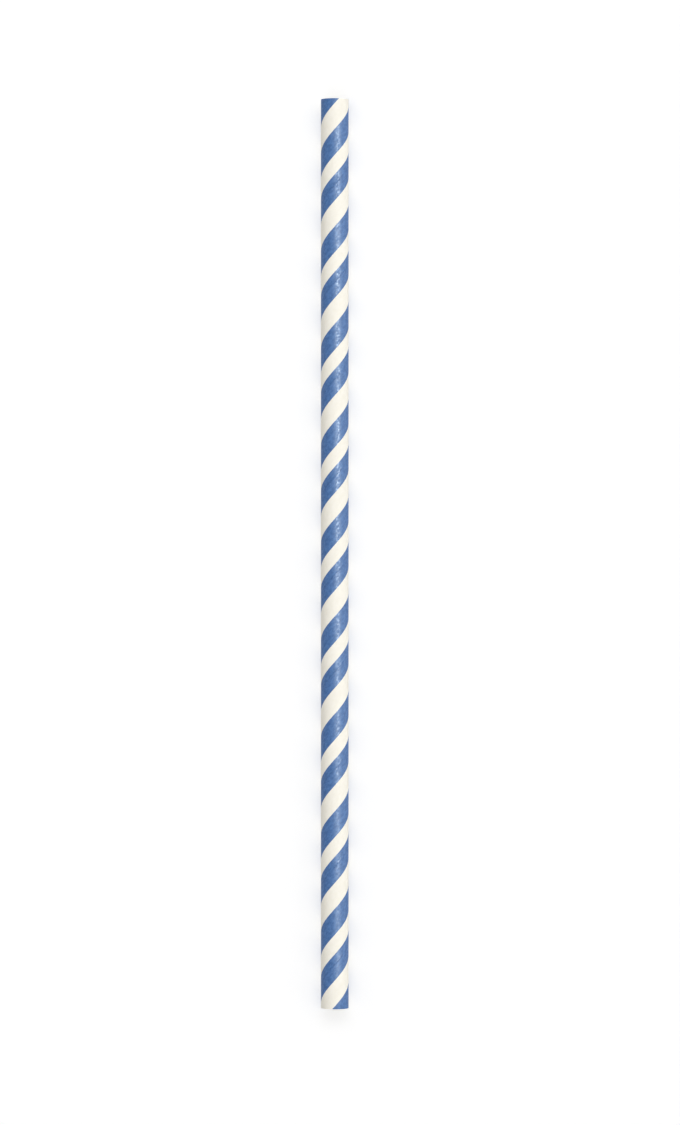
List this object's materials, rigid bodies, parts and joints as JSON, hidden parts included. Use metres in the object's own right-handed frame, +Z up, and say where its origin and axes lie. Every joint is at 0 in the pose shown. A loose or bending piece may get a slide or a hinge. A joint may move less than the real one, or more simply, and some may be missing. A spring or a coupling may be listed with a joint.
{
  "type": "paper drinking straw",
  "caption": "Straight paper drinking straw lying on its side: an open wound tube with blue spiral stripes.",
  "frame": {"origin": "on the surface that the straw lies on, under the middle of its length", "axes": "+Y along the straw's axis, +Z up from the surface it lies on, +X across it"},
  "size_m": [0.006, 0.197, 0.006],
  "materials": {
    "white_paper": "satin",
    "blue_print": "satin"
  },
  "bodies": {
    "root": {"paper_tube": "white_paper", "plain_blue_stripe": "blue_print", "joint_blue_stripe": "blue_print"}
  },
  "joints": []
}
